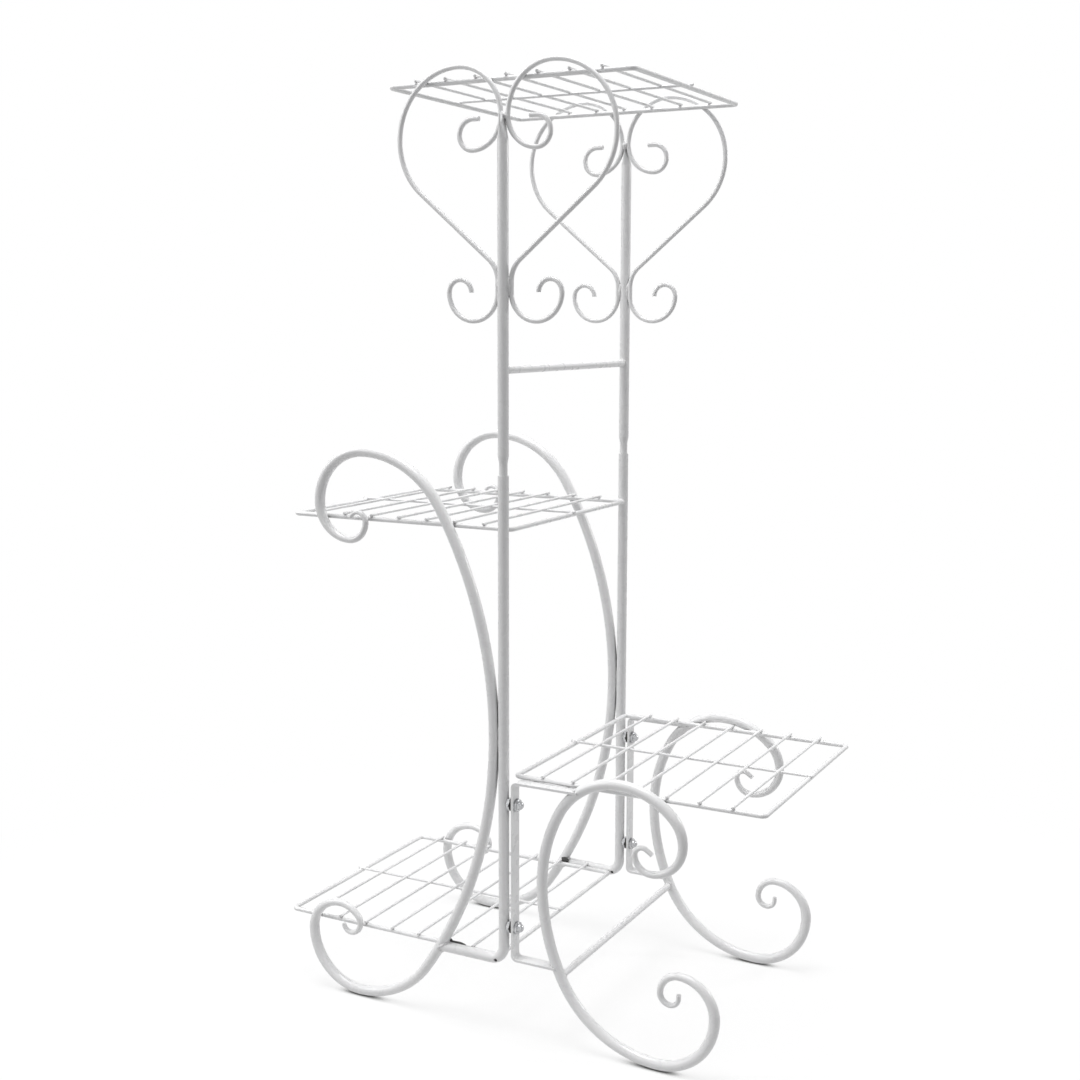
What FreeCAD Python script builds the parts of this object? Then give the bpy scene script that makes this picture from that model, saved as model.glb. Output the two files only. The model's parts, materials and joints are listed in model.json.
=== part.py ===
import FreeCAD
import Part
import math
import os

from FreeCAD import Vector

# Tiered plant stand of bent steel, millimetres, +Z up. X runs along the scrolls, Y from front to rear.
# The origin is on the floor, midway between the two posts.

# Whole stand
overall_height = 794.0
weld_gap = 0.1
cut_overrun = 2.0

# Post tube
tube_diameter = 9.0
tube_wall = 1.0
foot_height = 63.0
foot_bend_radius = 12.0
foot_hole_diameter = 3.0
foot_hole_inset = 6.0

# Plug of the upper post in the open top of the lower post
socket_height = 472.0
plug_depth = 40.0
plug_clearance = 0.04
plug_taper = 0.1
neck_length = 10.0
shoulder_length = 6.0

# Pinched top of the upper post
pinch_thickness = 2.0
pinch_width = 12.0
pinch_flat_length = 6.0
pinch_taper_length = 12.0

# Heart of two bent rods
heart_rod_diameter = 4.0
lobe_inner_radius = 39.0
lobe_outer_radius = 54.5
heart_slope = 40.0
heart_weld_length = 8.6
low_curl_radius = 22.4
low_curl_tip_radius = 10.3
high_curl_radius = 25.5
high_curl_tip_radius = 12.0
high_curl_tip_length = 6.0

# Crossbars
crossbar_diameter = 6.0
upper_crossbar_height = 556.0
low_crossbar_height = 60.0

# Left scroll, from where it touches the post up to one tip and down to the other
left_back_radius = 370.0
left_back_rise = 187.8
left_back_fall = 213.8
left_shoulder_radius = 88.0
left_crown_radius = 45.0
left_high_curl_radius = 31.0
left_high_hook_radius = 16.0
left_high_eye_radius = 8.0
left_high_tip_radius = 7.0
left_high_tip_turn = 70.0
left_hip_radius = 86.0
left_floor_radius = 49.0
left_low_curl_radius = 28.0
left_low_hook_radius = 26.0
left_low_hook_turn = 50.0
left_low_eye_radius = 10.0
left_low_tip_radius = 8.0
left_low_tip_turn = 80.0

# Right scroll, from its leftmost point up to one tip and down to the other
right_back_radius = 130.0
right_back_rise = 61.8
right_shoulder_radius = 60.3
right_crown_radius = 65.0
right_crown_turn = 45.0
right_high_curl_radius = 32.0
right_high_hook_radius = 27.0
right_high_eye_radius = 14.0
right_high_tip_radius = 6.5
right_high_tip_turn = 125.0
right_high_tip_length = 6.0
right_leg_radius = 180.0
right_leg_fall = 78.3
right_hip_radius = 96.7
right_floor_radius = 48.0
right_low_curl_radius = 30.0
right_low_hook_radius = 16.5
right_low_eye_radius = 9.0
right_low_tip_radius = 7.0
right_low_tip_length = 3.0
right_scroll_inset = 36.0

# Drawn-out ends of both scrolls
tip_thickness = 3.6
tip_width = 4.6

# Shelf
shelf_length = 220.0
shelf_depth = 220.0
shelf_inset = 6.0
shelf_corner_radius = 6.0
rim_diameter = 4.0
wire_diameter = 2.5
wire_count = 7
wire_overhang = 0.4
centre_wire_overhang = 1.0
weld_sink = 1.2
top_shelf_drop = 13.0
middle_shelf_height = 428.0

# Bracket of flat bar
bar_thickness = 2.0
bar_width = 11.0
bar_bend_radius = 4.0
bracket_bottom_height = 67.0
bracket_drop = 11.3

# Fasteners between post and bracket
stud_diameter = 6.0
thread_clearance = 0.05
bar_hole_clearance = 0.3
nut_across_flats = 10.0
nut_thickness = 5.0
cap_hex_thickness = 3.0
cap_dome_height = 4.0
cap_dome_diameter = 7.4
cap_bore_depth = 4.5
stud_root_length = 3.0
bolt_inset_low = 27.0
bolt_inset_high = 19.5

quarter_turn = 90.0
half_turn = 180.0
hex_sides = 6

tube_radius = tube_diameter / 2
bore_radius = tube_radius - tube_wall
rod_radius = heart_rod_diameter / 2
rim_radius = rim_diameter / 2
wire_radius = wire_diameter / 2
wire_pitch = shelf_length / (wire_count + 1)
crossbar_radius = crossbar_diameter / 2
stud_radius = stud_diameter / 2

# Posts and scrolls stand in two upright planes, just outside the shelves
plane_y = shelf_depth / 2 + weld_gap + tube_radius
plane_sides = {"front": -1, "rear": 1}

top_shelf_height = overall_height - top_shelf_drop
lower_shelf_height = foot_height


def save(shape, name):
    shape.exportStep(os.path.join("parts", name + ".step"))


def arc(radius, turn):
    return {"radius": radius, "turn": turn}


def run(length):
    return {"length": length}


# Follows a bent bar in the plane at y, turning left for a positive turn
def trace(y, start, heading, steps):
    edges = []
    x, z = start
    for step in steps:
        begin = Vector(x, y, z)
        if "length" in step:
            x += step["length"] * math.cos(math.radians(heading))
            z += step["length"] * math.sin(math.radians(heading))
            edges.append(Part.LineSegment(begin, Vector(x, y, z)).toShape())
            continue
        radius = step["radius"]
        side = math.copysign(1, step["turn"])
        spoke = math.radians(heading - side * quarter_turn)
        swing = math.radians(step["turn"])
        centre_x = x - radius * math.cos(spoke)
        centre_z = z - radius * math.sin(spoke)
        middle = spoke + swing / 2
        half_way = Vector(centre_x + radius * math.cos(middle), y, centre_z + radius * math.sin(middle))
        x = centre_x + radius * math.cos(spoke + swing)
        z = centre_z + radius * math.sin(spoke + swing)
        heading += step["turn"]
        edges.append(Part.Arc(begin, half_way, Vector(x, y, z)).toShape())
    return edges, (x, z), heading


# Oval across a path that lies in an upright plane: thickness in the plane, width across it
def oval(point, heading, thickness, width):
    across = Vector(0, 1, 0)
    normal = Vector(math.cos(math.radians(heading)), 0, math.sin(math.radians(heading)))
    in_plane = across.cross(normal)
    if width > thickness:
        curve = Part.Ellipse(point + across * (width / 2), point + in_plane * (thickness / 2), point)
    else:
        curve = Part.Circle(point, normal, thickness / 2)
        curve.XAxis = across
    return Part.Wire(curve.toShape())


def round_bar(edges, radius):
    first = edges[0]
    ring = Part.Circle(first.firstVertex(True).Point, first.tangentAt(first.FirstParameter), radius)
    return Part.Wire(edges).makePipeShell([Part.Wire(ring.toShape())], True, False)


# Places along X where a path crosses a height
def crossings(edges, height):
    y = edges[0].firstVertex().Point.y
    reach = 2 * shelf_length
    level = Part.LineSegment(Vector(-reach, y, height), Vector(reach, y, height)).toShape()
    places = []
    for edge in edges:
        distance, points, details = edge.distToShape(level)
        if distance < weld_gap:
            places += [pair[0].x for pair in points]
    return sorted(places)


# A scroll is a round bar whose two ends are drawn out into curls, past the first bend of each tail
def scroll(rising_core, rising_tail, falling_core, falling_tail, start, side, y):
    pieces = []
    core_edges = []
    for heading, core, tail, hand in (
        (quarter_turn, rising_core, rising_tail, side),
        (-quarter_turn, falling_core, falling_tail, -side),
    ):
        turned_core = [arc(radius, hand * turn) for radius, turn in core]
        edges, point, heading = trace(y, start, heading, turned_core)
        core_edges.append(edges)
        turned_tail = [run(radius) if turn is None else arc(radius, hand * turn) for radius, turn in tail]
        bend_edges, point, heading = trace(y, point, heading, turned_tail[:1])
        tail_edges, tip, tip_heading = trace(y, point, heading, turned_tail[1:])
        root_section = oval(Vector(point[0], y, point[1]), heading, tube_diameter, tube_diameter)
        tip_section = oval(Vector(tip[0], y, tip[1]), tip_heading, tip_thickness, tip_width)
        pieces.append(Part.Wire(tail_edges).makePipeShell([root_section, tip_section], True, False))
        pieces.append(round_bar(edges + bend_edges, tube_radius))
    solid = pieces[0].multiFuse(pieces[1:]).removeSplitter()
    return solid.Solids[0], core_edges


# Turn of an arc that starts upright and gains a given height
def turn_over(radius, height):
    return math.degrees(math.asin(height / radius))


left_rise_turn = turn_over(left_back_radius, left_back_rise)
left_fall_turn = turn_over(left_back_radius, left_back_fall)
right_rise_turn = turn_over(right_back_radius, right_back_rise)
right_fall_turn = turn_over(right_leg_radius, right_leg_fall)

left_rising_core = (
    (left_back_radius, left_rise_turn),
    (left_shoulder_radius, quarter_turn - left_rise_turn),
)
left_rising_tail = (
    (left_crown_radius, quarter_turn),
    (left_high_curl_radius, quarter_turn),
    (left_high_hook_radius, quarter_turn),
    (left_high_eye_radius, quarter_turn),
    (left_high_tip_radius, left_high_tip_turn),
)
left_falling_core = (
    (left_back_radius, left_fall_turn),
    (left_hip_radius, quarter_turn - left_fall_turn),
)
left_falling_tail = (
    (left_floor_radius, quarter_turn),
    (left_low_curl_radius, quarter_turn),
    (left_low_hook_radius, left_low_hook_turn),
    (left_low_eye_radius, half_turn - left_low_hook_turn),
    (left_low_tip_radius, left_low_tip_turn),
)
right_rising_core = (
    (right_back_radius, right_rise_turn),
    (right_shoulder_radius, quarter_turn - right_rise_turn),
)
right_rising_tail = (
    (right_crown_radius, right_crown_turn),
    (right_high_curl_radius, quarter_turn - right_crown_turn),
    (right_high_hook_radius, quarter_turn),
    (right_high_eye_radius, quarter_turn),
    (right_high_tip_radius, right_high_tip_turn),
    (right_high_tip_length, None),
)
right_falling_core = (
    (right_leg_radius, right_fall_turn),
    (right_hip_radius, quarter_turn - right_fall_turn),
)
right_falling_tail = (
    (right_floor_radius, quarter_turn),
    (right_low_curl_radius, quarter_turn),
    (right_low_hook_radius, quarter_turn),
    (right_low_eye_radius, quarter_turn),
    (right_low_tip_radius, quarter_turn),
    (right_low_tip_length, None),
)


# Height from a scroll's upright start to the highest or lowest point of its axis
def upright_reach(core):
    (first, turn), (second, rest) = core
    return second + (first - second) * math.sin(math.radians(turn))


left_start_height = tube_radius + upright_reach(left_falling_core)
right_start_height = tube_radius + upright_reach(right_falling_core)

# The bracket meets the right scroll just below its crown, and the side shelf lies on the bracket
bracket_top_height = right_start_height + upright_reach(right_rising_core) - bracket_drop
side_shelf_height = bracket_top_height + bar_thickness / 2 + rim_radius


def left_scroll(y):
    start = (-(2 * tube_radius + weld_gap), left_start_height)
    return scroll(left_rising_core, left_rising_tail, left_falling_core, left_falling_tail, start, 1, y)


def right_scroll(y):
    start = (right_scroll_inset, right_start_height)
    return scroll(
        right_rising_core, right_rising_tail, right_falling_core, right_falling_tail, start, -1, y)


# Space that other pieces leave free around the core of a scroll
def scroll_room(rising, falling):
    return round_bar(rising, tube_radius + weld_gap).fuse(round_bar(falling, tube_radius + weld_gap))


def lower_post(y, scroll_edges, room):
    joint_x = crossings(scroll_edges, foot_height)[0]
    steps = [
        run(socket_height - foot_height - foot_bend_radius),
        arc(foot_bend_radius, -quarter_turn),
        run(-foot_bend_radius - joint_x),
    ]
    edges, end, heading = trace(y, (0, socket_height), -quarter_turn, steps)
    tube = round_bar(edges, tube_radius).cut(round_bar(edges, bore_radius)).cut(room)
    hole_start = Vector(-foot_hole_inset, y - tube_diameter, foot_height)
    tube = tube.cut(Part.makeCylinder(
        foot_hole_diameter / 2, 2 * tube_diameter, hole_start, Vector(0, 1, 0)))
    for height in bolt_heights:
        stud_hole = Part.makeCylinder(
            stud_radius + thread_clearance, tube_diameter, Vector(0, y, height), Vector(1, 0, 0))
        tube = tube.cut(stud_hole)
    return max(tube.Solids, key=lambda solid: solid.Volume)


# Half section of the upper post's tube, with the swaged neck and plug at its lower end
def upper_post_tube(y, top):
    plug_radius = bore_radius - plug_clearance
    plug_end = socket_height - plug_depth
    neck_top = socket_height + neck_length
    shoulder = neck_top + shoulder_length
    tip_radius = plug_radius - plug_taper
    outer = [
        Vector(tip_radius, 0, plug_end),
        Vector(plug_radius, 0, socket_height),
        Vector(plug_radius, 0, neck_top),
        Vector(tube_radius, 0, shoulder),
        Vector(tube_radius, 0, top),
    ]
    inner = [Vector(tip_radius - tube_wall, 0, plug_end)]
    inner.append(Vector(plug_radius - tube_wall, 0, socket_height))
    inner.append(Vector(plug_radius - tube_wall, 0, neck_top))
    inner.append(Vector(bore_radius, 0, shoulder))
    inner.append(Vector(bore_radius, 0, top))
    outline = outer + inner[::-1] + outer[:1]
    face = Part.Face(Part.makePolygon(outline))
    tube = face.revolve(Vector(0, 0, 0), Vector(0, 0, 1), 2 * half_turn)
    tube.translate(Vector(0, y, 0))
    return tube


def upper_post(y):
    flat_start = heart_weld_height - pinch_flat_length
    taper_start = flat_start - pinch_taper_length
    round_end = Part.Circle(Vector(0, y, taper_start), Vector(0, 0, 1), tube_radius)
    round_end.XAxis = Vector(0, 1, 0)
    rings = [Part.Wire(round_end.toShape())]
    for height in (flat_start, heart_weld_height):
        centre = Vector(0, y, height)
        wide_end = centre + Vector(0, pinch_width / 2, 0)
        thin_side = centre - Vector(pinch_thickness / 2, 0, 0)
        rings.append(Part.Wire(Part.Ellipse(wide_end, thin_side, centre).toShape()))
    pinch = Part.makeLoft(rings, True, True)
    return upper_post_tube(y, taper_start).fuse(pinch).removeSplitter().Solids[0]


# Where the two rods of a heart run down against the pinched top of the post
heart_weld_height = overall_height - rod_radius - lobe_inner_radius
heart_inner_x = pinch_thickness / 2 + rod_radius + weld_gap

# The hearts sit inboard on the posts, so that their inner sides touch the top shelf
heart_inset = tube_radius - rod_radius
heart_outer_x = math.sqrt((tube_radius + rod_radius + weld_gap) ** 2 - heart_inset ** 2)


def heart_rod(side, hand):
    y = side * (plane_y - heart_inset)
    slope = math.radians(heart_slope)
    lobe_centre_x = heart_inner_x + lobe_inner_radius
    slope_top_x = lobe_centre_x + lobe_outer_radius * math.sin(slope)
    slope_foot_x = heart_outer_x + low_curl_radius * (1 - math.sin(slope))
    slope_length = (slope_top_x - slope_foot_x) / math.cos(slope)
    over_lobe = [
        arc(lobe_inner_radius, quarter_turn),
        arc(lobe_outer_radius, half_turn - heart_slope),
        run(slope_length),
        arc(low_curl_radius, heart_slope - quarter_turn),
        run(heart_weld_length),
        arc(low_curl_radius, -half_turn),
        arc(low_curl_tip_radius, -half_turn),
    ]
    into_curl = [
        arc(high_curl_radius, -quarter_turn),
        arc(high_curl_tip_radius, -half_turn),
        run(high_curl_tip_length),
    ]
    start = (-heart_inner_x, heart_weld_height)
    lobe_edges, tip, heading = trace(y, start, quarter_turn, over_lobe)
    curl_edges, tip, heading = trace(y, start, -quarter_turn, into_curl)
    lobe = round_bar(lobe_edges, rod_radius)
    rod = lobe.fuse(round_bar(curl_edges, rod_radius)).removeSplitter().Solids[0]
    if hand > 0:
        rod = rod.mirror(Vector(0, 0, 0), Vector(1, 0, 0))
    return rod


# A crossbar butts on the tubes in front and at the rear
def crossbar(x, z, neighbours):
    bar = Part.makeCylinder(crossbar_radius, 2 * plane_y, Vector(x, -plane_y, z), Vector(0, 1, 0))
    for neighbour in neighbours:
        bar = bar.cut(neighbour)
    return max(bar.Solids, key=lambda solid: solid.Volume)


def shelf_rim(x_left, z):
    straight_x = shelf_length - 2 * shelf_corner_radius
    straight_y = shelf_depth - 2 * shelf_corner_radius
    middle_radius = shelf_corner_radius - rim_radius
    left = x_left + rim_radius
    right = x_left + shelf_length - rim_radius
    near = rim_radius - shelf_depth / 2
    far = -near
    pieces = []
    for y in (near, far):
        start = Vector(x_left + shelf_corner_radius, y, z)
        pieces.append(Part.makeCylinder(rim_radius, straight_x, start, Vector(1, 0, 0)))
    for x in (left, right):
        start = Vector(x, shelf_corner_radius - shelf_depth / 2, z)
        pieces.append(Part.makeCylinder(rim_radius, straight_y, start, Vector(0, 1, 0)))
    for turn, x, y in (
        (0, right - middle_radius, far - middle_radius),
        (1, left + middle_radius, far - middle_radius),
        (2, left + middle_radius, near + middle_radius),
        (3, right - middle_radius, near + middle_radius),
    ):
        corner = Part.makeTorus(
            middle_radius, rim_radius, Vector(0, 0, 0), Vector(0, 0, 1),
            -half_turn, half_turn, quarter_turn)
        corner.rotate(Vector(0, 0, 0), Vector(0, 0, 1), turn * quarter_turn)
        corner.translate(Vector(x, y, z))
        pieces.append(corner)
    return pieces[0].multiFuse(pieces[1:]).removeSplitter().Solids[0]


def cross_wire(x_left, z, number, neighbours):
    length = shelf_depth + 2 * wire_overhang
    start = Vector(x_left + number * wire_pitch, -length / 2, z + rim_radius + wire_radius)
    wire = Part.makeCylinder(wire_radius, length, start, Vector(0, 1, 0))
    for neighbour in neighbours:
        wire = wire.cut(neighbour)
    return max(wire.Solids, key=lambda solid: solid.Volume)


# The centre wire is pressed up into the cross wires and down into the rim as it is welded
def centre_wire(x_left, z, neighbours):
    length = shelf_length + 2 * centre_wire_overhang
    start = Vector(x_left - centre_wire_overhang, 0, z + rim_radius + wire_radius - weld_sink)
    wire = Part.makeCylinder(wire_radius, length, start, Vector(1, 0, 0))
    for neighbour in neighbours:
        wire = wire.cut(neighbour)
    return max(wire.Solids, key=lambda solid: solid.Volume)


def save_shelf(name, x_left, z, neighbours):
    rim = shelf_rim(x_left, z)
    save(rim, name + "_rim")
    wires = [cross_wire(x_left, z, number + 1, neighbours) for number in range(wire_count)]
    for number, wire in enumerate(wires):
        save(wire, name + "_cross_wire_" + str(number + 1))
    save(centre_wire(x_left, z, wires + [rim]), name + "_centre_wire")


bar_inner_x = tube_radius + nut_thickness
bar_middle_x = bar_inner_x + bar_thickness / 2
bolt_heights = (bracket_bottom_height + bolt_inset_low, bracket_top_height - bolt_inset_high)


def bracket(y, top_edges, bottom_edges, room):
    top_x = crossings(top_edges, bracket_top_height)[0]
    bottom_x = crossings(bottom_edges, bracket_bottom_height)[0]
    corner_x = bar_middle_x + bar_bend_radius
    steps = [
        run(top_x - corner_x),
        arc(bar_bend_radius, quarter_turn),
        run(bracket_top_height - bracket_bottom_height - 2 * bar_bend_radius),
        arc(bar_bend_radius, quarter_turn),
        run(bottom_x - corner_x),
    ]
    edges, end, heading = trace(y, (top_x, bracket_top_height), half_turn, steps)
    section = Part.makePolygon([
        Vector(top_x, y + across * bar_width / 2, bracket_top_height + over * bar_thickness / 2)
        for across, over in ((-1, -1), (1, -1), (1, 1), (-1, 1), (-1, -1))
    ])
    strip = Part.Wire(edges).makePipeShell([section], True, False).cut(room)
    for height in bolt_heights:
        hole_start = Vector(bar_inner_x - cut_overrun, y, height)
        hole_length = bar_thickness + 2 * cut_overrun
        strip = strip.cut(Part.makeCylinder(
            stud_radius + bar_hole_clearance, hole_length, hole_start, Vector(1, 0, 0)))
    return max(strip.Solids, key=lambda solid: solid.Volume)


def hexagon(x, y, z, thickness, turn):
    corner = nut_across_flats / 2 / math.cos(math.radians(half_turn / hex_sides))
    points = []
    for number in range(hex_sides + 1):
        angle = math.radians(turn + number * 2 * half_turn / hex_sides)
        points.append(Vector(x, y + corner * math.sin(angle), z + corner * math.cos(angle)))
    return Part.Face(Part.makePolygon(points)).extrude(Vector(thickness, 0, 0))


def stud(y, z):
    start = Vector(tube_radius - stud_root_length, y, z)
    inside_cap = cap_bore_depth - weld_gap
    length = stud_root_length + nut_thickness + bar_thickness + inside_cap
    return Part.makeCylinder(stud_radius, length, start, Vector(1, 0, 0))


def spacer_nut(y, z):
    bore = Part.makeCylinder(
        stud_radius + thread_clearance, nut_thickness, Vector(tube_radius, y, z), Vector(1, 0, 0))
    return hexagon(tube_radius, y, z, nut_thickness, quarter_turn).cut(bore)


def cap_nut(y, z):
    x = bar_inner_x + bar_thickness
    dome_x = x + cap_hex_thickness
    dome_radius = cap_dome_diameter / 2
    rise = cap_dome_height - dome_radius
    dome = Part.makeCylinder(dome_radius, rise, Vector(dome_x, y, z), Vector(1, 0, 0))
    ball = Part.makeSphere(
        dome_radius, Vector(dome_x + rise, y, z), Vector(1, 0, 0), 0, quarter_turn, 2 * half_turn)
    bore = Part.makeCylinder(
        stud_radius + thread_clearance, cap_bore_depth, Vector(x, y, z), Vector(1, 0, 0))
    return hexagon(x, y, z, cap_hex_thickness, 0).multiFuse([dome, ball]).removeSplitter().cut(bore)


def save_fasteners():
    places = [(side * plane_y, height) for side in plane_sides.values() for height in bolt_heights]
    save(Part.makeCompound([stud(y, z) for y, z in places]), "mounting_studs")
    save(Part.makeCompound([spacer_nut(y, z).Solids[0] for y, z in places]), "spacer_nuts")
    save(Part.makeCompound([cap_nut(y, z).Solids[0] for y, z in places]), "cap_nuts")


def post_room(y):
    return Part.makeCylinder(tube_radius + weld_gap, overall_height, Vector(0, y, 0), Vector(0, 0, 1))


def main():
    os.makedirs("parts", exist_ok=True)
    left_scrolls = []
    right_scrolls = []
    lower_posts = []
    heart_rods = []
    right_rooms = []
    post_rooms = []
    for place, side in plane_sides.items():
        y = side * plane_y
        left, (left_rising, left_falling) = left_scroll(y)
        right, (right_rising, right_falling) = right_scroll(y)
        right_room = scroll_room(right_rising, right_falling)
        post = lower_post(y, left_falling, scroll_room(left_rising, left_falling))
        rods = {"left": heart_rod(side, -1), "right": heart_rod(side, 1)}
        save(left, "left_scroll_" + place)
        save(right, "right_scroll_" + place)
        save(post, "lower_post_" + place)
        save(upper_post(y), "upper_post_" + place)
        save(bracket(y, right_rising, right_falling, right_room), "bracket_" + place)
        for hand, rod in rods.items():
            save(rod, "heart_rod_" + place + "_" + hand)
        left_scrolls.append(left)
        right_scrolls.append(right)
        lower_posts.append(post)
        heart_rods += rods.values()
        right_rooms.append(right_room)
        post_rooms.append(post_room(y))
    low_bar_x = crossings(right_falling, low_crossbar_height)[0]
    save(crossbar(0, upper_crossbar_height, post_rooms), "upper_crossbar")
    save(crossbar(low_bar_x, low_crossbar_height, right_rooms), "low_crossbar")
    middle_shelf_x = shelf_corner_radius - shelf_length
    save_shelf("top_shelf", -shelf_length / 2, top_shelf_height, heart_rods)
    save_shelf("middle_shelf", middle_shelf_x, middle_shelf_height, left_scrolls + lower_posts)
    save_shelf("lower_shelf", -shelf_inset - shelf_length, lower_shelf_height, left_scrolls + lower_posts)
    save_shelf("side_shelf", shelf_inset, side_shelf_height, right_scrolls)
    save_fasteners()


main()
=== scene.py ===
import bpy
import bmesh
import json
import math
from mathutils import Matrix, Vector, noise
from mathutils.bvhtree import BVHTree

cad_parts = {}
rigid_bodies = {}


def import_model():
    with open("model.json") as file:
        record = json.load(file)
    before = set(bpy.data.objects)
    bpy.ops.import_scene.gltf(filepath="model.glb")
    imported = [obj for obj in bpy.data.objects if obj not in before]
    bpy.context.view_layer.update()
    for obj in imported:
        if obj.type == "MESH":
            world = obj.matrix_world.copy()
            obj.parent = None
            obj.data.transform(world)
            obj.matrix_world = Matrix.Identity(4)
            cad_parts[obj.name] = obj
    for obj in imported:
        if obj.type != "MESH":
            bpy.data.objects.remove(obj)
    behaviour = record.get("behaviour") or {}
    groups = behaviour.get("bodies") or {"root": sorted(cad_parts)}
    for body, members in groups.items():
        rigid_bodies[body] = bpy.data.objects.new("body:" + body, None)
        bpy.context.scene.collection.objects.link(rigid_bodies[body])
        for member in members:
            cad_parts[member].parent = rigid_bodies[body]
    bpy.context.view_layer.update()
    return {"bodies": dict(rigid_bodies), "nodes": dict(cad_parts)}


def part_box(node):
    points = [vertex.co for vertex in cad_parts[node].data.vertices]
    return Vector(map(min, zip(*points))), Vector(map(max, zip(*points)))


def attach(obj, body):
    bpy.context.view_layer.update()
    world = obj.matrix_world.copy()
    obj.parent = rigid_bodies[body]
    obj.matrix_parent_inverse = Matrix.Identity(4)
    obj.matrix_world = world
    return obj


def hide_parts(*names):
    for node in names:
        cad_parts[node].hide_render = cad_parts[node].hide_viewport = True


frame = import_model()
nodes = frame["nodes"]
scene = bpy.context.scene
places = ("front", "rear")
hands = ("left", "right")
shelves = ("top", "middle", "lower", "side")
mm = 0.001
fullTurn = 2 * math.pi
quarterTurn = 0.5 * math.pi
xAxis, yAxis, zAxis = Vector((1, 0, 0)), Vector((0, 1, 0)), Vector((0, 0, 1))


# shader helpers, all in object space so the finish stays on the steel
def emptyTree(owner):
    owner.use_nodes = True
    owner.node_tree.nodes.clear()
    return owner.node_tree


def addNode(tree, kind, values=None):
    node = tree.nodes.new("ShaderNode" + kind)
    for socket, value in (values or {}).items():
        node.inputs[socket].default_value = value
    return node


def newMaterial(name):
    material = bpy.data.materials.new(name)
    tree = emptyTree(material)
    out = addNode(tree, "OutputMaterial")
    shader = addNode(tree, "BsdfPrincipled")
    tree.links.new(shader.outputs["BSDF"], out.inputs["Surface"])
    coords = addNode(tree, "TexCoord")
    return material, tree, shader, coords.outputs["Object"]


def addNoise(tree, coords, scale, detail):
    node = addNode(tree, "TexNoise", {"Scale": scale, "Detail": detail})
    tree.links.new(coords, node.inputs["Vector"])
    return node.outputs["Fac"]


def addRamp(tree, fac, stops):
    node = addNode(tree, "ValToRGB")
    for element, (place, colour) in zip(node.color_ramp.elements, stops):
        element.position = place
        element.color = (*colour, 1.0)
    tree.links.new(fac, node.inputs["Fac"])
    return node.outputs["Color"]


# most of a noise lies between 0.3 and 0.7
def addRange(tree, fac, low, high, span=(0.3, 0.7)):
    limits = {"From Min": span[0], "From Max": span[1], "To Min": low, "To Max": high}
    node = addNode(tree, "MapRange", limits)
    tree.links.new(fac, node.inputs["Value"])
    return node.outputs["Result"]


def addBump(tree, height, strength, distance, base=None):
    node = addNode(tree, "Bump", {"Strength": strength, "Distance": distance})
    tree.links.new(height, node.inputs["Height"])
    if base is not None:
        tree.links.new(base, node.inputs["Normal"])
    return node.outputs["Normal"]


# how open a surface is to what lies within reach, from 0 in a corner to 1
def addOpenness(tree, reach, span, samples):
    node = addNode(tree, "AmbientOcclusion", {"Distance": reach})
    node.samples = samples
    return addRange(tree, node.outputs["AO"], 0.0, 1.0, span)


# satin white powder coat: faint tone drift, orange peel, a few dust nibs; painted shade: the colour turns
# near black in tight corners, where shade falls
coatLook = {
    "tones": ((0.30, (0.800, 0.800, 0.806)), (0.70, (0.852, 0.852, 0.852))),
    "driftScale": 26.0, "driftDetail": 4.0,
    "peelScale": 620.0, "peelDetail": 1.5, "peelStrength": 0.05, "peelDepth": 0.06 * mm,
    "nibScale": 110.0, "nibSize": 0.05, "nibStrength": 0.08, "nibDepth": 0.10 * mm,
    "rough": (0.24, 0.34), "roughScale": 90.0, "roughDetail": 3.0,
    # colour and reach of the painted shade in tight corners
    "paintedShade": (0.050, 0.050, 0.048), "paintedShadeReach": 7.0 * mm,
    "paintedShadeSpan": (0.10, 0.52), "paintedShadeSamples": 6,
}


def powderCoat(name, look):
    material, tree, shader, coords = newMaterial(name)
    link = tree.links.new
    drift = addNoise(tree, coords, look["driftScale"], look["driftDetail"])
    # painted shade: near black where the surface is closed in, mixed by openness into the coat colour
    shadeMix = addNode(tree, "Mix")
    shadeMix.data_type = "RGBA"
    factor, shadeColour, coated = shadeMix.inputs[0], shadeMix.inputs[6], shadeMix.inputs[7]
    shadeColour.default_value = (*look["paintedShade"], 1.0)
    link(addOpenness(tree, look["paintedShadeReach"], look["paintedShadeSpan"], look["paintedShadeSamples"]), factor)
    link(addRamp(tree, drift, look["tones"]), coated)
    link(shadeMix.outputs[2], shader.inputs["Base Color"])
    patches = addNoise(tree, coords, look["roughScale"], look["roughDetail"])
    link(addRange(tree, patches, *look["rough"]), shader.inputs["Roughness"])
    peel = addNoise(tree, coords, look["peelScale"], look["peelDetail"])
    nibs = addNode(tree, "TexVoronoi", {"Scale": look["nibScale"]})
    link(coords, nibs.inputs["Vector"])
    near = addNode(tree, "Math", {1: look["nibSize"]})
    near.operation = "LESS_THAN"
    link(nibs.outputs["Distance"], near.inputs[0])
    skin = addBump(tree, peel, look["peelStrength"], look["peelDepth"])
    skin = addBump(tree, near.outputs["Value"], look["nibStrength"], look["nibDepth"], skin)
    link(skin, shader.inputs["Normal"])
    return material


# the coat over welds runs thicker and duller, with weld grain under it
weldGrain = {"peelScale": 900.0, "peelStrength": 0.40, "peelDepth": 0.16 * mm}
weldLook = {
    **coatLook, **weldGrain,
    "tones": ((0.30, (0.700, 0.700, 0.706)), (0.70, (0.815, 0.815, 0.815))),
    "driftScale": 140.0, "rough": (0.36, 0.52),
}

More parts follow.
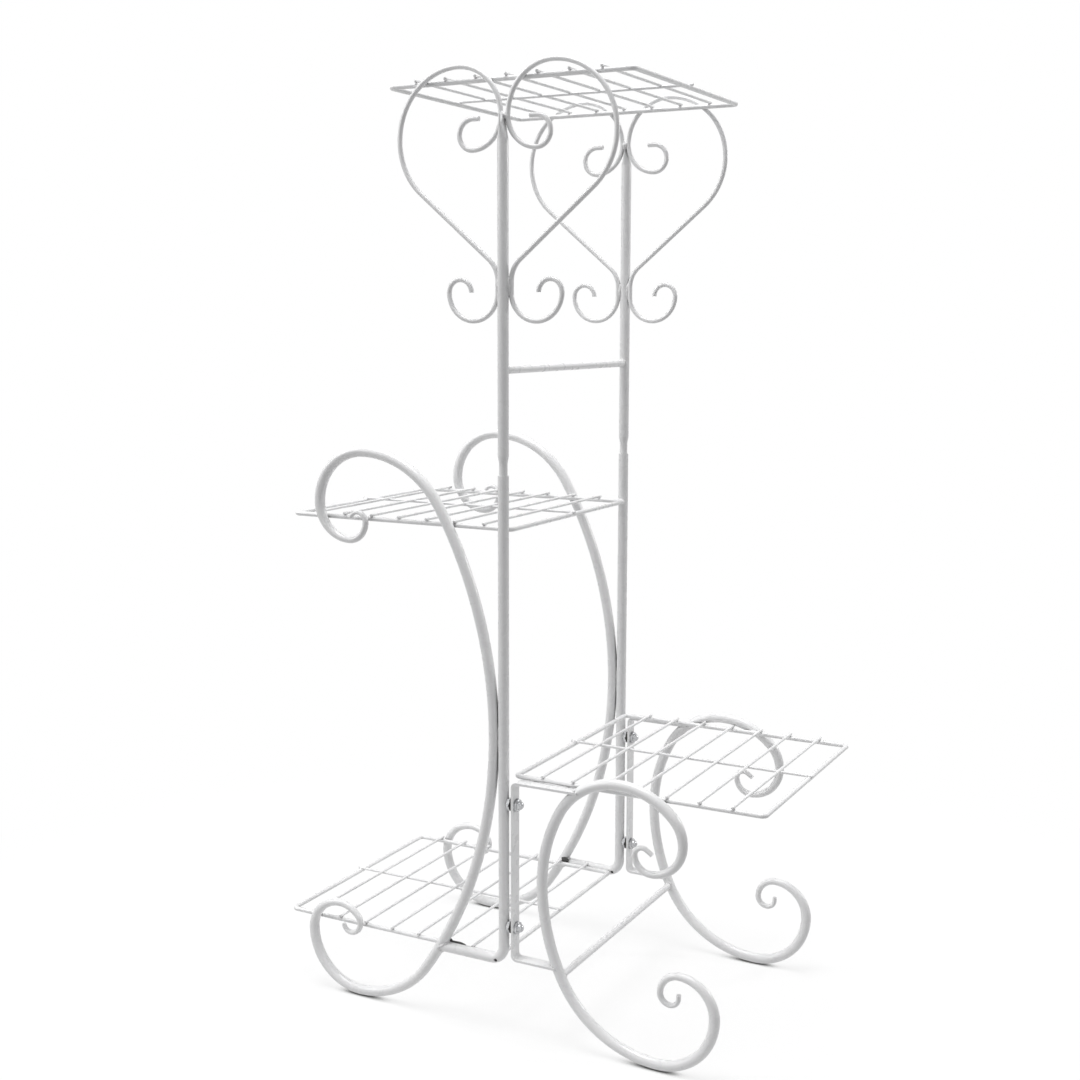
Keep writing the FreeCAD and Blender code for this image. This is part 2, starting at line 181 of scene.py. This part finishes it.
# bright zinc plate on the nuts and studs
zincLook = {
    "tones": ((0.28, (0.360, 0.365, 0.380)), (0.72, (0.580, 0.585, 0.590))),
    "driftScale": 420.0, "driftDetail": 3.0,
    "rough": (0.16, 0.30), "roughScale": 700.0, "roughDetail": 2.0,
    "grainStretch": (3200.0, 260.0, 260.0), "grainScale": 1.0, "grainDetail": 2.0,
    "grainStrength": 0.12, "grainDepth": 0.04 * mm,
}
# painted shade: the spacers' washer faces, which sit in shadow, are coloured near black
shadeDarkLook = {
    **zincLook,
    "tones": ((0.30, (0.020, 0.020, 0.021)), (0.70, (0.055, 0.054, 0.052))),
    "rough": (0.30, 0.48),
}


def zincPlate(name, look):
    material, tree, shader, coords = newMaterial(name)
    link = tree.links.new
    drift = addNoise(tree, coords, look["driftScale"], look["driftDetail"])
    link(addRamp(tree, drift, look["tones"]), shader.inputs["Base Color"])
    patches = addNoise(tree, coords, look["roughScale"], look["roughDetail"])
    link(addRange(tree, patches, *look["rough"]), shader.inputs["Roughness"])
    stretch = addNode(tree, "Mapping", {"Scale": look["grainStretch"]})
    link(coords, stretch.inputs["Vector"])
    grain = addNoise(tree, stretch.outputs["Vector"], look["grainScale"], look["grainDetail"])
    link(addBump(tree, grain, look["grainStrength"], look["grainDepth"]), shader.inputs["Normal"])
    shader.inputs["Metallic"].default_value = 1.0
    return material


whiteCoat = powderCoat("whiteCoat", coatLook)
weldCoat = powderCoat("weldCoat", weldLook)
brightZinc = zincPlate("brightZinc", zincLook)
shadeDarkZinc = zincPlate("shadeDarkZinc", shadeDarkLook)
hardwareNodes = ("mounting_studs", "spacer_nuts", "cap_nuts")
for nodeName, nodeObject in nodes.items():
    nodeObject.data.materials.clear()
    nodeObject.data.materials.append(brightZinc if nodeName in hardwareNodes else whiteCoat)
print("finishes: coat, weld coat and zinc on all nodes")


def newObject(name, data):
    item = bpy.data.objects.new(name, data)
    scene.collection.objects.link(item)
    return item


def meshObject(name, mesh):
    data = bpy.data.meshes.new(name)
    mesh.to_mesh(data)
    mesh.free()
    return newObject(name, data)


# every piece is a closed mesh with its faces outward
def addPiece(name, mesh, material, body):
    bmesh.ops.recalc_face_normals(mesh, faces=mesh.faces[:])
    for face in mesh.faces:
        face.smooth = True
    piece = meshObject(name, mesh)
    piece.data.materials.append(material)
    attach(piece, body)
    return piece


def roundPoints(centre, first, second, radius, count):
    angles = [fullTurn * j / count for j in range(count)]
    return [centre + first * (radius * math.cos(a)) + second * (radius * math.sin(a)) for a in angles]


# faces between two rows of vertices, where a row of one vertex is a tip
def addBand(mesh, upper, lower, finish=0):
    sides = max(len(upper), len(lower))
    for j in range(sides):
        k = (j + 1) % sides
        if len(upper) == 1:
            corners = (upper[0], lower[k], lower[j])
        elif len(lower) == 1:
            corners = (upper[j], upper[k], lower[0])
        else:
            corners = (upper[j], upper[k], lower[k], lower[j])
        mesh.faces.new(corners).material_index = finish


def addSkin(mesh, rows):
    for upper, lower in zip(rows, rows[1:]):
        addBand(mesh, upper, lower)


# where two pieces of the frame touch
trees = {}
edgeSlack = 1.0001


def treeOf(name):
    if name not in trees:
        data = nodes[name].data
        data.calc_loop_triangles()
        corners = [v.co for v in data.vertices]
        trees[name] = BVHTree.FromPolygons(corners, [t.vertices for t in data.loop_triangles])
    return trees[name]


def outside(points, low, high):
    return any(max(p[k] for p in points) < low[k] or min(p[k] for p in points) > high[k]
               for k in range(3))


def touching(first, second, reach, step):
    low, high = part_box(second)
    margin = Vector((reach, reach, reach))
    low, high = low - margin, high + margin
    other = treeOf(second)
    data = nodes[first].data
    data.calc_loop_triangles()
    found = []
    for triangle in data.loop_triangles:
        corners = [data.vertices[i].co for i in triangle.vertices]
        if outside(corners, low, high):
            continue
        # walk the triangle from its shortest edge
        spans = [(corners[(k + 1) % 3] - corners[k]).length for k in range(3)]
        start = spans.index(min(spans))
        a, b, c = corners[start], corners[(start + 1) % 3], corners[(start + 2) % 3]
        countB = max(1, math.ceil((b - a).length / step))
        countC = max(1, math.ceil((c - a).length / step))
        for i in range(countB + 1):
            for j in range(countC + 1):
                if i / countB + j / countC > edgeSlack:
                    break
                point = a + (b - a) * (i / countB) + (c - a) * (j / countC)
                if outside([point], low, high):
                    continue
                hit, normal, index, gap = other.find_nearest(point, reach)
                if hit is not None:
                    found.append(((point + hit) / 2, normal))
    return found


def clusters(found, spread):
    groups = []
    for point, normal in found:
        homes = [g for g in groups if any((point - p).length < spread for p, n in g)]
        merged = [(point, normal)]
        for home in homes:
            merged += home
            groups.remove(home)
        groups.append(merged)
    return groups


# a bead with the ripples of a hand weld, longest along its seam
beadDetail = {"rings": 14, "sides": 16, "swellPower": 0.5,
              "rippleStep": 1.7 * mm, "fewestRipples": 2.0, "ripple": 0.06,
              "lump": 0.12, "seedStep": 3.7, "lumpsAlong": 6, "lumpsRound": 1.5}


def addBead(mesh, centre, along, normal, length, width, height, seed):
    look = beadDetail
    along = along.normalized()
    across = normal.cross(along).normalized()
    normal = along.cross(across)
    ripples = max(look["fewestRipples"], length / look["rippleStep"])
    rows = []
    for i in range(1, look["rings"]):
        t = i / look["rings"]
        swell = math.sin(math.pi * t) ** look["swellPower"]
        ripple = 1.0 + look["ripple"] * math.cos(fullTurn * ripples * t)
        row = []
        for j in range(look["sides"]):
            angle = fullTurn * j / look["sides"]
            aroundIt = look["lumpsRound"] * math.cos(angle) + look["lumpsRound"] * math.sin(angle)
            spot = Vector((seed * look["seedStep"], look["lumpsAlong"] * t, aroundIt))
            lump = 1.0 + look["lump"] * noise.noise(spot)
            side = across * (0.5 * width * math.cos(angle) * swell * ripple * lump)
            rise = normal * (0.5 * height * math.sin(angle) * swell * ripple * lump)
            row.append(mesh.verts.new(centre + along * ((t - 0.5) * length) + side + rise))
        rows.append(row)
    tail = mesh.verts.new(centre - along * (0.5 * length))
    head = mesh.verts.new(centre + along * (0.5 * length))
    addSkin(mesh, [[tail], *rows, [head]])


# a rippled ring round the end of a bar that butts on another
ringDetail = {"radius": 1.15 * mm, "sides": 10, "points": 66, "fewestPoints": 20,
              "crossbar": 3.0 * mm, "foot": 4.5 * mm, "footTubes": 6, "ripple": 0.10, "ripples": 11,
              "lump": 0.25, "seedStep": 5.1, "lumpStep": 0.35}


def addRing(mesh, path, seed):
    look = ringDetail
    centre = sum(path, Vector()) / len(path)
    count = len(path)
    rows = []
    for i, point in enumerate(path):
        ahead = (path[(i + 1) % count] - path[i - 1]).normalized()
        outward = (point - centre).normalized()
        up = ahead.cross(outward).normalized()
        outward = up.cross(ahead)
        ripple = 1.0 + look["ripple"] * math.cos(fullTurn * i * look["ripples"] / count)
        spot = Vector((seed * look["seedStep"], look["lumpStep"] * i, 0.0))
        lump = 1.0 + look["lump"] * noise.noise(spot)
        thick = look["radius"] * ripple * lump
        rows.append([mesh.verts.new(p) for p in roundPoints(point, outward, up, thick, look["sides"])])
    addSkin(mesh, [*rows, rows[0]])


# where the rim of a bar's end meets the piece ahead of it
def barEnd(start, heading, radius, target):
    heading = heading.normalized()
    side = heading.orthogonal().normalized()
    other = heading.cross(side)
    path = []
    for origin in roundPoints(start, side, other, radius, ringDetail["points"]):
        hit, normal, index, gap = treeOf(target).ray_cast(origin, heading)
        if hit is not None:
            path.append(hit)
    return path


# sizes of the beads by what they join, in metres
weldSizes = {
    "heartPost": {"extra": 2.5 * mm, "least": 7.5 * mm, "width": 6.2 * mm, "height": 3.8 * mm},
    "heartShelf": {"extra": 1.5 * mm, "least": 5.0 * mm, "width": 3.6 * mm, "height": 1.8 * mm},
    "scrollPost": {"extra": 4.0 * mm, "least": 12.0 * mm, "width": 3.4 * mm, "height": 2.0 * mm},
    "shelfFrame": {"extra": 2.0 * mm, "least": 6.0 * mm, "width": 4.2 * mm, "height": 2.2 * mm},
    "bracketScroll": {"extra": 1.5 * mm, "least": 9.0 * mm, "width": 5.0 * mm, "height": 3.2 * mm},
    "bracketShelf": {"extra": 0.5 * mm, "least": 7.0 * mm, "width": 3.4 * mm, "height": 1.6 * mm},
}
seamSearch = {"reach": 0.32 * mm, "step": 0.6 * mm, "spread": 7.0 * mm, "longest": 34.0 * mm,
              "shortest": 0.3 * mm, "leastNormal": 0.001}


def weldPairs():
    pairs = []
    for place in places:
        post = "upper_post_" + place
        for hand in hands:
            rod = "heart_rod_%s_%s" % (place, hand)
            pairs.append(("upper_frame", "heartPost", rod, post))
            pairs.append(("upper_frame", "heartShelf", rod, "top_shelf_rim"))
        left, right = "left_scroll_" + place, "right_scroll_" + place
        lower, bracket = "lower_post_" + place, "bracket_" + place
        pairs.append(("lower_frame", "scrollPost", left, lower))
        for shelf in ("middle", "lower"):
            pairs.append(("lower_frame", "shelfFrame", shelf + "_shelf_rim", left))
        pairs.append(("lower_frame", "shelfFrame", "middle_shelf_rim", lower))
        pairs.append(("lower_frame", "shelfFrame", "side_shelf_rim", right))
        pairs.append(("lower_frame", "bracketScroll", bracket, right))
        pairs.append(("lower_frame", "bracketShelf", "side_shelf_rim", bracket))
    return pairs


# a bead along the longest spread of a group of touching points
def addSeam(mesh, group, size, seed):
    points = [p for p, n in group]
    centre = sum(points, Vector()) / len(points)
    normal = sum((n for p, n in group), Vector())
    if normal.length < seamSearch["leastNormal"]:
        normal = zAxis.copy()
    normal.normalize()
    reachOut = max(points, key=lambda p: (p - centre).length) - centre
    along = reachOut - normal * reachOut.dot(normal)
    if along.length < seamSearch["shortest"]:
        along = normal.orthogonal()
    along.normalize()
    spans = [(p - centre).dot(along) for p in points]
    length = max(max(spans) - min(spans) + size["extra"], size["least"])
    length = min(length, seamSearch["longest"])
    addBead(mesh, centre, along, normal, length, size["width"], size["height"], seed)


# the tube radius, corner and front-to-back middle of a lower post's foot
def footOf(place):
    low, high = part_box("lower_post_" + place)
    tube = (high.y - low.y) / 2
    return tube, high.x, (low.y + high.y) / 2, low.z + tube


def barEnds():
    ends = []
    for place in places:
        heading = -yAxis if place == "front" else yAxis
        for bar, target, body in (("upper_crossbar", "upper_post_", "upper_frame"),
                                  ("low_crossbar", "right_scroll_", "lower_frame")):
            low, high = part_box(bar)
            ends.append((body, (low + high) / 2, heading, ringDetail["crossbar"], target + place))
        tube, outer, y, z = footOf(place)
        # the foot runs from the post to the left, and starts straight some tube radii along
        start = Vector((outer - ringDetail["footTubes"] * tube, y, z))
        ends.append(("lower_frame", start, -xAxis, ringDetail["foot"], "left_scroll_" + place))
    return ends


def frameWelds():
    meshes = {body: bmesh.new() for body in frame["bodies"]}
    count = 0
    for body, kind, first, second in weldPairs():
        found = touching(first, second, seamSearch["reach"], seamSearch["step"])
        for group in clusters(found, seamSearch["spread"]):
            addSeam(meshes[body], group, weldSizes[kind], count)
            count += 1
    ends = barEnds()
    for number, (body, start, heading, radius, target) in enumerate(ends):
        path = barEnd(start, heading, radius, target)
        if len(path) > ringDetail["fewestPoints"]:
            addRing(meshes[body], path, number)
    for body, mesh in meshes.items():
        addPiece("welds_" + body, mesh, weldCoat, body)
    print("welds: %d beads and %d rings" % (count, len(ends)))


frameWelds()

# near-black welds in the corners where foot, scroll and lower shelf meet: scorched unpainted weld, made
# darker still as painted shade for the deep shade in these corners; a blot and a groove have a length, a
# width and a height
scorchAndShadeLook = {
    **coatLook, **weldGrain,
    "tones": ((0.30, (0.030, 0.030, 0.031)), (0.70, (0.085, 0.083, 0.080))),
    "driftScale": 420.0, "rough": (0.50, 0.70),
}
scorchAndShadeSize = {
    "start": 30.0 * mm, "lift": 4.6 * mm,
    "blot": (9.0 * mm, 5.4 * mm, 2.4 * mm), "blotAlong": 2.6 * mm, "blotDrop": 0.8 * mm,
    "groove": (19.0 * mm, 4.0 * mm, 3.4 * mm), "grooveAlong": 6.0 * mm,
    "grooveInset": 3.8 * mm, "grooveLift": 3.2 * mm, "grooveSeed": 5,
}


def footWelds(size):
    mesh = bmesh.new()
    for number, place in enumerate(places):
        inward = yAxis if place == "front" else -yAxis
        scroll = treeOf("left_scroll_" + place)
        tube, outer, y, z = footOf(place)
        axis = Vector((outer - tube, y, z))
        # the scroll's middle just above the foot, then its face towards the shelf
        right = scroll.ray_cast(axis + zAxis * size["lift"], -xAxis)[0]
        left = scroll.ray_cast(right - xAxis * size["start"], xAxis)[0]
        face = scroll.ray_cast((left + right) / 2 + inward * size["start"], -inward)[0]
        face += xAxis * size["blotAlong"] - zAxis * size["blotDrop"]
        addBead(mesh, face, xAxis, inward, *size["blot"], number)
        # the front one also ran along the groove beside the shelf, near black there too as painted shade
        if place == "front":
            groove = Vector((right.x + size["grooveAlong"], axis.y, axis.z))
            groove += inward * size["grooveInset"] + zAxis * size["grooveLift"]
            addBead(mesh, groove, xAxis, zAxis, *size["groove"], number + size["grooveSeed"])
    addPiece("footWelds", mesh, powderCoat("scorchedWeldAndShade", scorchAndShadeLook), "lower_frame")
    print("feet: scorched welds on", len(places))


footWelds(scorchAndShadeSize)

# resistance welds where the shelf wires cross, and drops of coat on the cut ends;
# a spot has a length, a width and a height
shelfDetail = {"spot": (3.4 * mm, 3.0 * mm, 1.5 * mm), "centreSeed": 9, "rimSeed": 31,
               "dropHeight": 0.55 * mm, "dropShare": 1.02, "dropRings": 5, "dropSides": 16}


def addDrop(mesh, centre, outward, radius):
    side = outward.orthogonal().normalized()
    other = outward.cross(side)
    rings, height = shelfDetail["dropRings"], shelfDetail["dropHeight"]
    rows = []
    for i in range(rings):
        angle = quarterTurn * i / rings
        ring = radius * shelfDetail["dropShare"] * math.cos(angle)
        middle = centre + outward * (height * math.sin(angle))
        points = roundPoints(middle, side, other, ring, shelfDetail["dropSides"])
        rows.append([mesh.verts.new(p) for p in points])
    tip = mesh.verts.new(centre + outward * height)
    addSkin(mesh, [*rows, [tip]])
    # a flat base against the cut wire, with a crisp edge
    base = mesh.faces.new(rows[0])
    for edge in base.edges:
        edge.smooth = False


def shelfWelds(shelf, body):
    spots, drops = bmesh.new(), bmesh.new()
    rimLow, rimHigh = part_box(shelf + "_shelf_rim")
    rimRadius = (rimHigh.z - rimLow.z) / 2
    seatHeight = rimHigh.z
    wires = sorted(n for n in nodes if n.startswith(shelf + "_shelf_cross_wire"))
    spot = shelfDetail["spot"]
    for number, name in enumerate(wires):
        low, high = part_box(name)
        x, z, radius = (low.x + high.x) / 2, (low.z + high.z) / 2, (high.z - low.z) / 2
        for y in (rimLow.y + rimRadius, rimHigh.y - rimRadius):
            addBead(spots, Vector((x, y, seatHeight)), xAxis, zAxis, *spot, number)
        centreSeed = number + shelfDetail["centreSeed"]
        addBead(spots, Vector((x, 0, seatHeight)), xAxis, zAxis, *spot, centreSeed)
        for y, outward in ((low.y, -yAxis), (high.y, yAxis)):
            addDrop(drops, Vector((x, y, z)), outward, radius)
    low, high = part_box(shelf + "_shelf_centre_wire")
    wireLow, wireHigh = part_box(wires[0])
    radius = 0.5 * (wireHigh.z - wireLow.z)
    for x, rimX, outward in ((low.x, rimLow.x + rimRadius, -xAxis),
                             (high.x, rimHigh.x - rimRadius, xAxis)):
        addDrop(drops, Vector((x, 0, high.z - radius)), outward, radius)
        addBead(spots, Vector((rimX, 0, seatHeight)), yAxis, zAxis, *spot, shelfDetail["rimSeed"])
    addPiece("spotWelds_" + shelf, spots, weldCoat, body)
    addPiece("wireEnds_" + shelf, drops, whiteCoat, body)


for shelf in shelves:
    shelfWelds(shelf, "upper_frame" if shelf == "top" else "lower_frame")
print("shelves: spot welds and wire ends on", len(shelves))

# chamfered nuts with washer faces and ball caps, in place of the plain ones;
# shares are of half the width across flats, the neck's of the dome
nutDetail = {"sides": 72, "flats": 6, "chamferTurn": 30.0, "crispAngle": 24.0,
             "faceShare": 0.95, "collarShare": 1.10, "boreShare": 0.55,
             "capCollar": 0.80 * mm, "spacerCollar": 2.00 * mm,
             "domeShare": 0.74, "neckShare": 1.06, "domeRings": 14, "foot": 0.30 * mm}
hexSector = fullTurn / nutDetail["flats"]
# the second finish of the nuts is painted shade
bright, shadeDark = 0, 1


# the box of each of a node's four solids
def quarters(name):
    low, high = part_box(name)
    middle = (low + high) / 2
    for ySign in (-1, 1):
        for zSign in (-1, 1):
            points = [v.co for v in nodes[name].data.vertices
                      if (v.co.y - middle.y) * ySign > 0 and (v.co.z - middle.z) * zSign > 0]
            yield (Vector([min(p[k] for p in points) for k in range(3)]),
                   Vector([max(p[k] for p in points) for k in range(3)]))


# centre of the foot, half the width across flats, and the first flat's angle from +Y
def hexSize(low, high):
    centre = Vector((low.x, (low.y + high.y) / 2, (low.z + high.z) / 2))
    halfY, halfZ = (high.y - low.y) / 2, (high.z - low.z) / 2
    return centre, min(halfY, halfZ), 0.0 if halfY < halfZ else hexSector / 2


def hexRadius(angle, flat):
    turned = (angle + hexSector / 2) % hexSector - hexSector / 2
    return flat / math.cos(turned)


# stations run along X, each an (along, radius) rule and the finish of the band after it;
# a radius of 0 is a tip, and a profile without tips closes on itself as a through bore
def lathe(mesh, centre, turn, stations):
    sides = nutDetail["sides"]
    rows = []
    for rule, finish in stations:
        count = sides if rule(0.0)[1] > 0.0 else 1
        row = []
        for j in range(count):
            angle = fullTurn * j / sides
            along, radius = rule(angle)
            spot = Vector((along, radius * math.cos(angle + turn), radius * math.sin(angle + turn)))
            row.append(mesh.verts.new(centre + spot))
        rows.append((row, finish))
    if len(rows[0][0]) == sides:
        rows.append(rows[0])
    for (upper, finish), (lower, after) in zip(rows, rows[1:]):
        addBand(mesh, upper, lower, finish)


def level(along, radius):
    return lambda angle: (along, radius)


def hexStations(flat, thick, footCollar, topCollar):
    face = flat * nutDetail["faceShare"]
    collar, inner = flat * nutDetail["collarShare"], flat * nutDetail["boreShare"]
    slope = math.tan(math.radians(nutDetail["chamferTurn"]))
    base, top = footCollar, thick - topCollar
    stations = [(level(0.0, inner), bright)]
    if footCollar:
        stations += [(level(0.0, collar), bright), (level(base, collar), bright)]
    stations += [
        (level(base, face), bright),
        (lambda a: (base + (hexRadius(a, flat) - face) * slope, hexRadius(a, flat)), bright),
        (lambda a: (top - (hexRadius(a, flat) - face) * slope, hexRadius(a, flat)), bright),
        (level(top, face), shadeDark if topCollar else bright),
    ]
    if topCollar:
        stations += [(level(top, collar), shadeDark), (level(thick, collar), shadeDark), (level(thick, inner), shadeDark)]
    return stations


# a blind bore first, then the hexagon and the dome
def capStations(flat, length):
    dome = nutDetail["domeShare"] * flat
    start = length - dome
    thick = start - nutDetail["foot"]
    stations = [(level(thick, 0.0), bright), (level(thick, flat * nutDetail["boreShare"]), bright)]
    stations += hexStations(flat, thick, nutDetail["capCollar"], 0.0)
    stations.append((level(thick, nutDetail["neckShare"] * dome), bright))
    for i in range(nutDetail["domeRings"]):
        rise = quarterTurn * i / nutDetail["domeRings"]
        stations.append((level(start + dome * math.sin(rise), dome * math.cos(rise)), bright))
    stations.append((level(start + dome, 0.0), bright))
    return stations


def spacerStations(flat, length):
    return hexStations(flat, length, 0.0, nutDetail["spacerCollar"])


def nuts(name, node, stationsOf):
    mesh = bmesh.new()
    for low, high in quarters(node):
        centre, flat, turn = hexSize(low, high)
        lathe(mesh, centre, turn, stationsOf(flat, high.x - low.x))
    piece = addPiece(name, mesh, brightZinc, "lower_frame")
    # near-black painted shade on the spacers' washer faces
    piece.data.materials.append(shadeDarkZinc)
    edges = piece.modifiers.new("crispEdges", "EDGE_SPLIT")
    edges.split_angle = math.radians(nutDetail["crispAngle"])
    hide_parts(node)


nuts("spacerNuts", "spacer_nuts", spacerStations)
nuts("capNuts", "cap_nuts", capStations)
print("hardware: chamfered nuts and ball caps")


# rays that see the surroundings: straight on, mirrored or through glass
def seenRays(tree):
    rays = addNode(tree, "LightPath")
    total = rays.outputs["Is Camera Ray"]
    for kind in ("Is Glossy Ray", "Is Transmission Ray"):
        most = addNode(tree, "Math")
        most.operation = "MAXIMUM"
        tree.links.new(total, most.inputs[0])
        tree.links.new(rays.outputs[kind], most.inputs[1])
        total = most.outputs["Value"]
    return total


def joinShaders(tree, kind, first, second, factor=None):
    node = addNode(tree, kind)
    shaders = [socket for socket in node.inputs if socket.type == "SHADER"]
    tree.links.new(first, shaders[0])
    tree.links.new(second, shaders[1])
    if factor is not None:
        tree.links.new(factor, node.inputs["Fac"])
    return node.outputs[0]


# pale floor with a soft shadow, and a painted contact shadow, a narrow dark line where the feet rest,
# white beyond it; for the light it is a table that glows from below, most of all near the stand
stageLook = {"size": 12.0, "segments": 8, "drop": 0.2 * mm, "fadeFrom": 0.35, "fadeTo": 0.75,
             "albedo": (0.19, 0.19, 0.19), "glow": 0.795, "white": 1.0,
             "contactShadow": 0.03, "contactShadowReach": 20.0 * mm, "contactShadowSpan": (0.22, 0.58),
             "contactShadowSamples": 12,
             "bounce": (0.33, 0.33, 0.33), "tableNear": 0.34, "tableFar": 0.05}


def floorMaterial(look):
    material = bpy.data.materials.new("paleFloor")
    tree = emptyTree(material)
    link = tree.links.new
    coords = addNode(tree, "TexCoord")
    away = addNode(tree, "VectorMath")
    away.operation = "LENGTH"
    link(coords.outputs["Object"], away.inputs[0])
    fade = addNode(tree, "MapRange", {"From Min": look["fadeFrom"], "From Max": look["fadeTo"]})
    fade.interpolation_type = "SMOOTHSTEP"
    link(away.outputs["Value"], fade.inputs["Value"])
    far = fade.outputs["Result"]
    # what is seen
    diffuse = addNode(tree, "BsdfDiffuse", {"Color": (*look["albedo"], 1.0)})
    glow = addNode(tree, "Emission", {"Strength": look["glow"]})
    contactShadow = addNode(tree, "Emission", {"Strength": look["contactShadow"]})
    white = addNode(tree, "Emission", {"Strength": look["white"]})
    # painted shadow: the floor turns dark where the stand closes it in within reach
    openness = addOpenness(tree, look["contactShadowReach"], look["contactShadowSpan"], look["contactShadowSamples"])
    lit = joinShaders(tree, "AddShader", diffuse.outputs[0], glow.outputs[0])
    contactShaded = joinShaders(tree, "MixShader", contactShadow.outputs[0], lit, openness)
    seen = joinShaders(tree, "MixShader", contactShaded, white.outputs[0], far)
    # what lights the stand
    bounce = addNode(tree, "BsdfDiffuse", {"Color": (*look["bounce"], 1.0)})
    table = addNode(tree, "Emission")
    tableLevel = addRange(tree, far, look["tableNear"], look["tableFar"], (0.0, 1.0))
    link(tableLevel, table.inputs["Strength"])
    lifted = joinShaders(tree, "AddShader", bounce.outputs[0], table.outputs[0])
    surface = joinShaders(tree, "MixShader", lifted, seen, seenRays(tree))
    link(surface, addNode(tree, "OutputMaterial").inputs["Surface"])
    return material


def paleFloor(look):
    mesh = bmesh.new()
    segments = look["segments"]
    bmesh.ops.create_grid(mesh, x_segments=segments, y_segments=segments, size=look["size"] / 2)
    floor = meshObject("floor", mesh)
    floor.location.z = -look["drop"]
    floor.data.materials.append(floorMaterial(look))
    # keeps the floor out of the rays that place the coat's painted shade
    floor.visible_shadow = False


paleFloor(stageLook)

# white round the object for the camera and for reflections, a soft grey for light
skyLook = {"light": (0.20, 0.20, 0.203), "seen": (1.0, 1.0, 1.0)}


def studioSky(look):
    scene.world = bpy.data.worlds.new("studio")
    tree = emptyTree(scene.world)
    dim = addNode(tree, "Background", {"Color": (*look["light"], 1.0)})
    white = addNode(tree, "Background", {"Color": (*look["seen"], 1.0)})
    sky = joinShaders(tree, "MixShader", dim.outputs[0], white.outputs[0], seenRays(tree))
    tree.links.new(sky, addNode(tree, "OutputWorld").inputs["Surface"])


studioSky(skyLook)

# soft boxes: name, place, aim, size in metres and power in watts
softBoxes = (
    ("keyBox", (-2.0, -1.3, 1.5), (0.0, 0.0, 0.40), 1.2, 24.0),
    ("fillBox", (1.9, -1.5, 0.9), (0.0, 0.0, 0.40), 1.0, 2.5),
    ("rimBox", (1.55, 1.40, 1.1), (0.0, 0.0, 0.40), 0.35, 10.0),
    ("topBox", (-0.2, -0.2, 3.2), (0.0, 0.0, 0.0), 1.6, 88.0),
)


def softBox(name, place, aim, size, power):
    lamp = bpy.data.lights.new(name, "AREA")
    lamp.shape = "SQUARE"
    lamp.size = size
    lamp.energy = power
    holder = newObject(name, lamp)
    holder.location = place
    holder.rotation_euler = (Vector(aim) - Vector(place)).to_track_quat("-Z", "Y").to_euler()


for box in softBoxes:
    softBox(*box)
print("studio: floor, sky and", len(softBoxes), "soft boxes")

# the photograph's angle, in degrees, with a lens of about 50 mm on a 36 mm wide frame
cameraLook = {"place": (0.5833, -1.1502, 0.5958), "yaw": 27.969, "pitch": 8.41, "roll": 0.113,
              "lens": 49.65, "sensor": 36.0}


def photoCamera(look):
    data = bpy.data.cameras.new("photoCamera")
    data.lens = look["lens"]
    data.sensor_width = look["sensor"]
    data.sensor_fit = "AUTO"
    holder = newObject("photoCamera", data)
    yaw, pitch, roll = (math.radians(look[key]) for key in ("yaw", "pitch", "roll"))
    right = Vector((math.cos(yaw), math.sin(yaw), 0))
    ahead = Vector((-math.sin(yaw) * math.cos(pitch), math.cos(yaw) * math.cos(pitch), -math.sin(pitch)))
    up = right.cross(ahead)
    turn = Matrix((right, up, -ahead)).transposed() @ Matrix.Rotation(roll, 3, "Z")
    holder.matrix_world = Matrix.Translation(look["place"]) @ turn.to_4x4()
    scene.camera = holder


photoCamera(cameraLook)
scene.view_settings.view_transform = "Standard"
